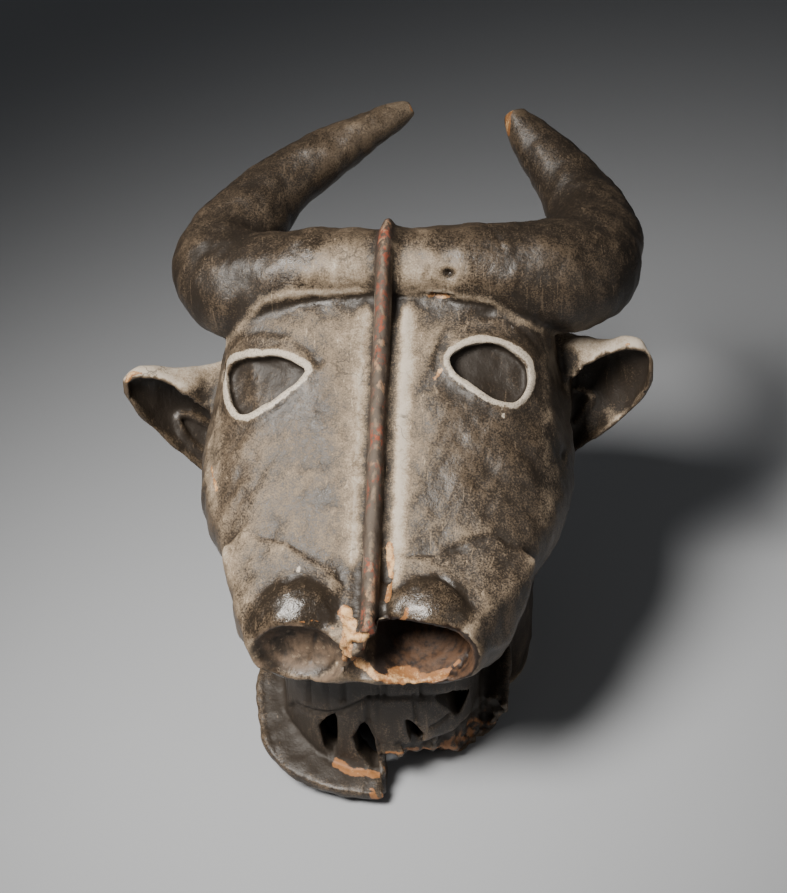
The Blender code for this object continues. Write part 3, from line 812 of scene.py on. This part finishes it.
# Where the patina is thick, rubbed, dusty or broken, and where shade and highlights are painted
# Smooth measures over the carving say how far each place is from the painted rims and the crest, how
# dusty or raw it is, how dark with patina and painted shade, how pale with painted highlights, and
# whether it lies on an edge or in a hollow.
PAINT_SPECKS = (  # added distance and line: on the left pad and under the right eye
    (1.6, ((-47, -153, 190), (-47, -151, 192))),
    (1.5, ((81, -49, 255), (83, -60, 250))),
)
CUP_RIM = (
    (-71, -185, 146), (-66, -184, 138), (-57, -186, 130), (-45, -187, 127), (-32, -187, 131),
    (-21, -187, 141),
)
RAW_LINES = (  # weight, half width and line
    # round the septum
    (1.0, 6.0, ((-15, -175, 175), (-11, -184, 171), (-12, -192, 165), (-14, -195, 157), (-15, -194, 148))),
    (0.9, 5.0, ((-12, -192, 163), (-1, -191, 168))),
    (1.0, 3.5, ((12, -138, 201), (14, -149, 189), (13, -169, 180))),
    (0.95, 4.5, ((-12, -195, 152), (-6, -187, 140), (5, -192, 134), (17, -192, 130))),
    # on the rims and hoods of the nostrils
    (1.0, 6.0, ((14, -192, 132), (33, -188, 128), (48, -184, 131))),
    (0.85, 3.0, ((48, -184, 131), (58, -178, 136), (66, -176, 149))),
    (0.9, 4.0, ((25, -182, 184), (24, -186, 178))),
    (0.8, 3.0, ((22, -184, 175), (12, -186, 168), (9, -186, 160))),
    (0.75, 1.8, ((-43, -187, 175), (-32, -185, 174), (-21, -187, 170))),
    # under the teeth and on the lip
    (0.75, 6.5, ((-29, -158, 22), (-20, -163, 20), (-2, -165, 19))),
    (0.9, 3.5, ((-4, -177, 15), (-1, -180, 8))),
    # on the tip of the right horn and the edges of the ears
    (1.2, 4.0, ((79, 172, 348), (77, 166, 342), (76, 162, 336))),
    (0.9, 3.0, ((-184, 12, 220), (-181, 15, 226), (-174, 15, 226))),
    (0.85, 2.2, ((-170, 13, 224), (-163, 13, 220), (-153, 12, 213))),
    (0.75, 1.8, ((143, 16, 245), (153, 17, 252), (166, 17, 256))),
    # scratches on the cheek, the forehead, the horn and the right eye's rim
    (0.8, 2.6, ((-115, -68, 209), (-111, -77, 208), (-108, -88, 204))),
    (0.8, 2.4, ((41, -41, 273), (38, -46, 270), (34, -48, 268))),
    (0.75, 2.2, ((-17, -24, 284), (-15, -44, 271), (-14, -60, 260))),
    (0.7, 1.0, ((71, 36, 338), (78, 24, 336), (80, 11, 329))),
    (0.7, 1.0, ((78, -42, 254), (79, -56, 254))),
)
RAW_SPOTS = (  # weight, centre and radii
    (1.0, (24, -186, 131), (15, 13, 9)),
    (0.8, (-3, -190, 142), (12, 10, 9)),
    (0.9, (72, -118, 4), (8, 10, 12)),
    (0.9, (37, 2, 303), (12, 6, 3)),
    (0.8, (9, 171, 350), (5, 6, 5)),
)
# Pale dust down the middle of the face, and two narrow strips beside the crest that are painted highlights,
# the sheen of the face
DUST_AND_SHEEN_STRIPES = ((0.95, 1, 38), (1.35, 17, 9), (1.6, -10, 5))  # weight, x and half width
# Dust on the forehead, dust with painted highlights on the bosses of the brow, and dust with painted light
# on the lit left of the face
DUST_AND_LIGHT_SPOTS = (  # weight, centre and radii: forehead, brow and left of the face
    (0.8, (0, -20, 286), (95, 32, 18)),
    (0.9, (0, 5, 318), (75, 26, 22)),
    (0.55, (-52, -95, 230), (42, 60, 42)),
)
EYE_SHADE_RADII = (24, 28, 13)  # radii
POLISHED = (((-38, 0, 318), (34, 26, 20)), ((42, 0, 320), (36, 26, 20)))  # centre and radii
CREST_REACH = 12  # from the line of its foot
PAST_CREST = 3.0  # how much faster the distance grows beyond that

mesh = block.data
bulk = len(mesh.vertices)
place, out = points_of(mesh)
place = place - shift
x, y, z = place.T
edges = np.empty(len(mesh.edges) * 2, int)
mesh.edges.foreach_get("vertices", edges)
edges = edges.reshape(-1, 2)


def spread(values, rounds):
    """Average of each point with its neighbours, over again: v = (v + sum of neighbours) / (1 + n)."""
    ends = np.concatenate([edges[:, 0], edges[:, 1]])
    others = np.concatenate([edges[:, 1], edges[:, 0]])
    near = np.bincount(ends, minlength=bulk) + 1
    for _ in range(rounds):
        values = (values + np.bincount(ends, values[others], bulk)) / near
    return values


def in_ball(centre, radii, edge):
    """Smooth step from 0 outside a stretched ball, at its edge in radii, to 1 on it and inside."""
    return step(-np.linalg.norm((place - centre) / radii, axis=1), -edge, -1.0)


smooth_place = np.stack([spread(column, 6) for column in place.T], -1)
# How far each point stands out of its smoothed neighbours: edges come out paler with wear, and hollows
# darker, a painted shade
bulge = spread(((place - smooth_place) * out).sum(1), 2)
rim_distance = np.minimum.reduce(
    [from_rim(place, table) for table in EYES]
    + [line_distance(place, path) + more for more, path in PAINT_SPECKS]
)
past_crest = np.maximum(line_distance(place, crest_path) - CREST_REACH, 0)
crest_distance = np.abs(x - CREST_MIDDLE) + PAST_CREST * past_crest
# Inner faces of the ear scoops, which get painted shade
in_ear = step(np.abs(x), 118, 128) * step(z, 140, 150) * step(-out[:, 1], 0.0, 0.5)
in_ear *= step(-out[:, 2], -0.75, -0.45)
over_horns = [line_distance(place, smooth_rows(table, 60)) for table in (LEFT_HORN, RIGHT_HORN)]
on_horn = step(-np.minimum(*over_horns), -6, 1) * step(np.abs(x), 30, 95)
# Up-facing roofs of the ears, pale with dust and with painted light from above
ear_roof = step(np.abs(x), 100, 114) * step(z, 175, 195) * step(out[:, 2], 0.1, 0.6) * (1 - on_horn)
# Down-facing outer edges of the ears, which get painted shade
shaded_ear_edge = step(np.abs(x), 128, 136) * step(bulge, 0.12, 0.35) * step(-out[:, 2], -0.5, -0.1)
hood = np.maximum(*(in_ball(*ball, 1.07) for ball in HOODS)) * step(-y, 150, 160)
cup_rim = groove(place, CUP_RIM, 3.6)
nostril = np.maximum.reduce([in_ball(*ball, 1.08) for ball in NOSTRILS]) * (1 - cup_rim)
down_middle = step(-y, -12, 12) * step(z, 175, 200)
raw = np.maximum.reduce(
    [weight * groove(place, path, width) for weight, width, path in RAW_LINES]
    + [weight * spot(place, *ball) for weight, *ball in RAW_SPOTS]
    + [0.62 * torn(place, 4.0, 3.5, 44)]
)
# Pale dust, with painted highlights beside the crest and on the brow, and painted light on the lit left of
# the face and on the ears' roofs
dust_and_light = np.maximum.reduce(
    [weight * np.exp(-((x - middle) / width) ** 2) * down_middle for weight, middle, width in DUST_AND_SHEEN_STRIPES]
    + [weight * spot(place, *ball) for weight, *ball in DUST_AND_LIGHT_SPOTS]
    + [
        0.85 * ear_roof,
        1.2 * groove(place, FOREHEAD_EDGE, 6.0),
        1.4 * cup_rim,
        0.45 * step(z, 150, 175) * step(-y, 90, 125) * (1 - hood),  # muzzle
    ]
)
# Dark patina on the horns and hoods, and painted shade in the ear scoops, under the ears' edges, over the
# mouth, on the right of the face and in the sunk eyes
dark_and_shade = np.maximum.reduce([
    # painted shade inside the ear scoops
    0.9 * in_ear,
    # dark patina of the horns
    0.65 * on_horn,
    # painted shade under the muzzle, over the jaw and teeth
    1.25 * step(-z, -122, -106) * step(-y, 20, 70),  # mouth
    # painted shade on the down-facing edges of the ears
    1.2 * shaded_ear_edge * (1 - on_horn),
    # painted shade on the right side of the face, away from the lamp
    0.45 * step(x, 60, 105) * step(-y, -20, 10),  # right side of the face
    # darker towards the bottom
    0.5 * step(-z, -150, -90),  # lower parts
    hood,
])
# painted shade in the sunk eyes
for table in EYES:
    eye_middle = on_face(smooth_rows(table, 48, closed=True).mean(0)[None])[0]
    dark_and_shade = np.maximum(dark_and_shade, 1.4 * spot(place, eye_middle, EYE_SHADE_RADII))
polish = np.clip(hood + sum(spot(place, *boss) for boss in POLISHED), 0, 1)
# The bore of the right nostril, weighted to its lower right; where the weight is low it is left nearly
# black, a painted shade
bored = step(x, 0, 10) * nostril * (0.3 + 0.7 * step(x - 0.9 * (z - 150), 14, 44))

measures = {
    "rim_distance": rim_distance,
    "crest_distance": crest_distance,
    "bulge": bulge,
    "raw": raw,
    "dust_and_light": np.clip(dust_and_light, 0, 1.4),
    "dark_and_shade": np.clip(dark_and_shade, 0, 1.3),
    "hood": hood,
    "nostril": nostril,
    "polish": polish,
    "bored": bored,
}
for name, values in measures.items():
    layer = mesh.attributes.new(name, "FLOAT", "POINT")
    layer.data.foreach_set("value", values.astype(np.float32))

# Wood
# One patina covers the carving: dark where it is thick, brown where it is rubbed, grey with dust on top,
# with painted eye rims, red specks in the crest and raw wood in the breaks. Painted shade darkens the
# hollows, ear scoops, mouth, sunk eyes, right nostril's bore and right side of the face, and painted
# highlights pale the face beside the crest, the brow, the left of the face and the ears' roofs.
DARK = (0.022, 0.016, 0.011, 1)
BROWN = (0.105, 0.076, 0.050, 1)
DUST = (0.29, 0.222, 0.152, 1)
# pale dust, and the painted highlight beside the crest
PALE_DUST_AND_HIGHLIGHT = (0.52, 0.455, 0.375, 1)
RAW_DARK = (0.26, 0.115, 0.042, 1)
RAW_PALE = (0.68, 0.43, 0.21, 1)
PAINT = (0.52, 0.455, 0.37, 1)
CREST_DARK = (0.035, 0.022, 0.016, 1)
CREST_RED = (0.30, 0.065, 0.03, 1)
CREST_TAN = (0.36, 0.21, 0.12, 1)
NOSTRIL_BROWN = (0.15, 0.10, 0.065, 1)
BORE_SHADE = (0.016, 0.009, 0.006, 1)
BORED_PALE = (0.085, 0.042, 0.02, 1)
CRACKLE_SCALE = 70
SHAKE_SCALE = 130
SHAKE = 0.012  # its share in the place that the crackle reads
BUMP_STRENGTH = 0.55
BUMP_HEIGHT = 0.0009

wood = bpy.data.materials.new("patinated wood")
wood.use_nodes = True
tree = wood.node_tree


def wire(source, socket):
    """Joins an output to a socket, or sets the socket to a plain number or colour."""
    if isinstance(source, bpy.types.NodeSocket):
        tree.links.new(source, socket)
    else:
        socket.default_value = source


def feed(node, sources):
    """Wires sources to a node's inputs by their names."""
    for name, source in sources.items():
        wire(source, node.inputs[name])


def measure(name):
    """One of the carving's measures."""
    node = tree.nodes.new("ShaderNodeAttribute")
    node.attribute_name = name
    return node.outputs["Fac"]


def calculate(operation, a, b=0.0, c=0.0, clamp=False):
    """One sum: a and b, and c where it is added after a product."""
    node = tree.nodes.new("ShaderNodeMath")
    node.operation = operation
    node.use_clamp = clamp
    for source, socket in zip((a, b, c), node.inputs):
        wire(source, socket)
    return node.outputs[0]


def times(a, b):
    """Product of two values."""
    return calculate("MULTIPLY", a, b)


def with_shares(total, *parts):
    """Adds to a value each part times its share."""
    for value, share in parts:
        total = calculate("MULTIPLY_ADD", value, share, total)
    return total


def ramp(value, start, end, low=0.0, high=1.0):
    """Smooth step of a value, from low at start to high at end."""
    node = tree.nodes.new("ShaderNodeMapRange")
    node.interpolation_type = "SMOOTHSTEP"
    feed(node, {"Value": value, "From Min": start, "From Max": end, "To Min": low, "To Max": high})
    return node.outputs["Result"]


def mixed(factor, a, b):
    """Colour between a, where the factor is 0, and b, where it is 1."""
    node = tree.nodes.new("ShaderNodeMix")
    node.data_type = "RGBA"
    wire(factor, node.inputs[0])
    wire(a, node.inputs[6])
    wire(b, node.inputs[7])
    return node.outputs[2]


on_wood = tree.nodes.new("ShaderNodeTexCoord").outputs["Object"]


def stretched(scale, turned):
    """Place on the wood, turned and drawn out, so that what reads it runs in streaks."""
    node = tree.nodes.new("ShaderNodeMapping")
    feed(node, {"Vector": on_wood, "Scale": scale, "Rotation": turned})
    return node.outputs["Vector"]


def cloud(scale, detail, roughness, vector=on_wood, distortion=0.0):
    """Noise of a given scale, from 0 to 1 and mostly near its middle."""
    node = tree.nodes.new("ShaderNodeTexNoise")
    feed(node, {"Vector": vector, "Scale": scale, "Detail": detail})
    feed(node, {"Roughness": roughness, "Distortion": distortion})
    return node.outputs["Fac"]


patches = cloud(17, 6, 0.6, distortion=0.4)
blots = cloud(60, 6, 0.65, distortion=0.3)
specks = cloud(260, 4, 0.6)
grain = cloud(220, 4, 0.6, stretched((1.0, 1.0, 0.16), (0.25, 0.0, 0.0)))
fine = cloud(900, 3, 0.6)
fine_change = calculate("SUBTRACT", fine, 0.5)
scratches = ramp(cloud(420, 2, 0.5, stretched((1.0, 0.3, 0.05), (0.5, 0.45, 0.2)), 0.6), 0.66, 0.72)

# Crackle follows the edges of cells, with its place shaken so that they don't run straight.
shake = tree.nodes.new("ShaderNodeTexNoise")
feed(shake, {"Vector": on_wood, "Scale": SHAKE_SCALE})
cells = tree.nodes.new("ShaderNodeTexVoronoi")
cells.feature = "DISTANCE_TO_EDGE"
feed(cells, {"Vector": mixed(SHAKE, on_wood, shake.outputs["Color"]), "Scale": CRACKLE_SCALE})
crackle = cells.outputs["Distance"]

rim_d, crest_d, bulge_m, raw_m, dust_and_light_m, dark_and_shade_m, hood_m, nostril_m, polish_m, bored_m = (
    measure(name) for name in measures)

# Patina: dark, rubbed brown, then dusty, with fine cracks in its patches. Painted shade darkens it in the
# hollows and the shaded parts, and painted highlights pale it beside the crest, on the brow, on the left of
# the face and on the ears' roofs.
rubbed_and_shaded = with_shares(
    times(grain, 0.35), (blots, 0.45), (patches, 0.55), (dark_and_shade_m, -0.2), (fine_change, 1.1),
    (scratches, 0.25), (bulge_m, 0.2))
dust_light_and_shade = with_shares(
    dust_and_light_m, (specks, 0.7), (patches, 0.7), (bulge_m, 0.5), (dark_and_shade_m, -0.7), (hood_m, -0.35),
    (blots, 0.4), (fine_change, 1.1), (scratches, 0.3))
crack = times(ramp(crackle, 0.035, 0.012), ramp(patches, 0.5, 0.62))
colour = mixed(ramp(rubbed_and_shaded, 0.5, 0.87), DARK, BROWN)
colour = mixed(ramp(dust_light_and_shade, 1.12, 2.0, 0.0, 0.95), colour, DUST)
colour = mixed(ramp(dust_light_and_shade, 1.65, 2.4, 0.0, 0.85), colour, PALE_DUST_AND_HIGHLIGHT)
colour = mixed(times(crack, 0.55), colour, DARK)

# Nostrils: stained brown with dust in the cup, and nearly black down the bore, a painted shade, turning
# orange-brown to its lower right.
cup = mixed(ramp(blots, 0.36, 0.64), DARK, NOSTRIL_BROWN)
cup = mixed(times(ramp(specks, 0.58, 0.68), 0.45), cup, DUST)
bored_tone = with_shares(times(bored_m, 0.7), (grain, 1.6))
bore_wood_and_shade = mixed(ramp(bored_tone, 1.1, 1.7), BORE_SHADE, BORED_PALE)
colour = mixed(times(nostril_m, 0.9), colour, cup)
colour = mixed(ramp(bored_m, 0.0, 0.15), colour, bore_wood_and_shade)

# Crest: dark, with red paint left in specks, bare tan wood in streaks, and a worn top.
crest_edge = with_shares(crest_d, (blots, 5.0))
red = times(ramp(crest_edge, 8.4, 6.4), ramp(specks, 0.47, 0.56))
tan = times(ramp(crest_edge, 7.2, 5.4), ramp(grain, 0.54, 0.64))
worn = times(ramp(crest_edge, 4.6, 3.2), ramp(grain, 0.48, 0.6, 0.0, 0.4))
colour = mixed(ramp(crest_edge, 9.8, 7.2, 0.0, 0.85), colour, CREST_DARK)
colour = mixed(times(red, ramp(blots, 0.46, 0.6, 0.0, 0.8)), colour, CREST_RED)
colour = mixed(times(tan, ramp(patches, 0.46, 0.58, 0.0, 0.8)), colour, CREST_TAN)
colour = mixed(worn, colour, DUST)

# Raw wood with a ragged edge in the chips and breaks, and thin paint on the rims of the eyes.
raw_edge = with_shares(raw_m, (specks, 0.3), (blots, 0.5))
# raw wood comes out darker where painted shade lies
raw_tone = with_shares(times(grain, 1.6), (fine, 0.9), (raw_edge, 0.7), (dark_and_shade_m, -0.3))
raw_wood = mixed(ramp(raw_tone, 1.75, 2.35), RAW_DARK, RAW_PALE)
paint_edge = with_shares(rim_d, (specks, 2.8), (blots, 2.2))
painted = times(ramp(paint_edge, 5.9, 5.2), ramp(fine, 0.36, 0.5, 0.45, 0.95))
colour = mixed(ramp(raw_edge, 0.92, 1.02), colour, raw_wood)
colour = mixed(painted, colour, PAINT)

roughness = with_shares(
    ramp(dust_light_and_shade, 0.9, 1.8, 0.36, 0.72), (polish_m, -0.22), (nostril_m, 0.3), (dark_and_shade_m, 0.12),
    (bulge_m, -0.1), (ramp(crest_edge, 10.0, 8.0, 0.0, 0.25), 1.0))
roughness = calculate("MULTIPLY_ADD", fine, 0.12, roughness, clamp=True)

bump = tree.nodes.new("ShaderNodeBump")
skin_height = with_shares(times(specks, 0.7), (grain, 0.9), (fine, 0.25), (ramp(crackle, 0.0, 0.03), 0.06))
feed(bump, {"Strength": BUMP_STRENGTH, "Distance": BUMP_HEIGHT, "Height": skin_height})
shader = tree.nodes["Principled BSDF"]
feed(shader, {"Base Color": colour, "Roughness": roughness, "Normal": bump.outputs["Normal"]})

block.name = "mask_carving"
mesh.materials.clear()
mesh.materials.append(wood)
mesh.polygons.foreach_set("use_smooth", np.ones(len(mesh.polygons), bool))
mesh.update()
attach(block, "root")
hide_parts("mask")

# Floor
# A pale sweep of paper on which the mask stands on its rim and jaw.
FLOOR_CORNERS = ((-6, -6, 0), (6, -6, 0), (6, 6, 0), (-6, 6, 0))
PAPER = (0.35, 0.365, 0.39, 1)

floor_mesh = bpy.data.meshes.new("floor")
floor_mesh.from_pydata(FLOOR_CORNERS, [], [(0, 1, 2, 3)])
floor = bpy.data.objects.new("floor", floor_mesh)
bpy.context.scene.collection.objects.link(floor)
paper = bpy.data.materials.new("pale paper")
paper.use_nodes = True
dull = {"Base Color": PAPER, "Roughness": 0.9, "Specular IOR Level": 0.1}
feed(paper.node_tree.nodes["Principled BSDF"], dull)
floor_mesh.materials.append(paper)

# Light
# A large soft lamp above to the left, a weak one from the right, and a low even light all round.
LAMP_AIM = (-0.03, -0.13, 0.12)
LAMPS = (  # place, size in metres, power in watts and spread in degrees
    ((-0.60, -0.82, 1.40), 0.7, 5.0, 43),
    ((1.5, -0.9, 0.8), 1.0, 0.8, 90),
)
LAMP_COLOUR = (1.0, 0.955, 0.89)
STUDIO_COLOUR = (0.97, 0.98, 1.0, 1)
STUDIO_STRENGTH = 0.065

for lamp_place, size, watts, spread_angle in LAMPS:
    data = bpy.data.lights.new("lamp", "AREA")
    data.shape = "DISK"
    data.size = size
    data.energy = watts
    data.color = LAMP_COLOUR
    data.spread = math.radians(spread_angle)
    lamp = bpy.data.objects.new("lamp", data)
    lamp.location = lamp_place
    lamp.rotation_euler = (Vector(lamp_place) - Vector(LAMP_AIM)).to_track_quat("Z", "Y").to_euler()
    bpy.context.scene.collection.objects.link(lamp)
world = bpy.data.worlds.new("studio")
world.use_nodes = True
feed(world.node_tree.nodes["Background"], {"Color": STUDIO_COLOUR, "Strength": STUDIO_STRENGTH})
bpy.context.scene.world = world

# Camera
# It looks down on the mask from in front and a little from the right, and leans a little, as in the
# photograph. Its lens follows from the size that a millimetre has there.
CAMERA_AZIMUTH = 6.0
CAMERA_HEIGHT_ANGLE = 37.0
CAMERA_ROLL = 2.5
CAMERA_DISTANCE = 1.9
CAMERA_TARGET = (3, 0, 177)  # in the carving's own place
SENSOR = 36.0
MM_PER_PIXEL = 0.70
PHOTO_HEIGHT = 893

azimuth = math.radians(CAMERA_AZIMUTH)
height_angle = math.radians(CAMERA_HEIGHT_ANGLE)
to_camera = Vector((
    math.sin(azimuth) * math.cos(height_angle),
    -math.cos(azimuth) * math.cos(height_angle),
    math.sin(height_angle),
))
camera_data = bpy.data.cameras.new("camera")
camera_data.sensor_fit = "VERTICAL"
camera_data.sensor_height = SENSOR
camera_data.lens = SENSOR * CAMERA_DISTANCE * MM / (MM_PER_PIXEL * PHOTO_HEIGHT)
camera_data.clip_end = 30.0
camera = bpy.data.objects.new("camera", camera_data)
bpy.context.scene.collection.objects.link(camera)
level = to_camera.to_track_quat("Z", "Y").to_matrix()
target = Vector((np.array(CAMERA_TARGET) + shift) / MM)
camera.matrix_world = (
    Matrix.Translation(target + CAMERA_DISTANCE * to_camera)
    @ (level @ Matrix.Rotation(math.radians(-CAMERA_ROLL), 3, "Z")).to_4x4()
)
bpy.context.scene.camera = camera
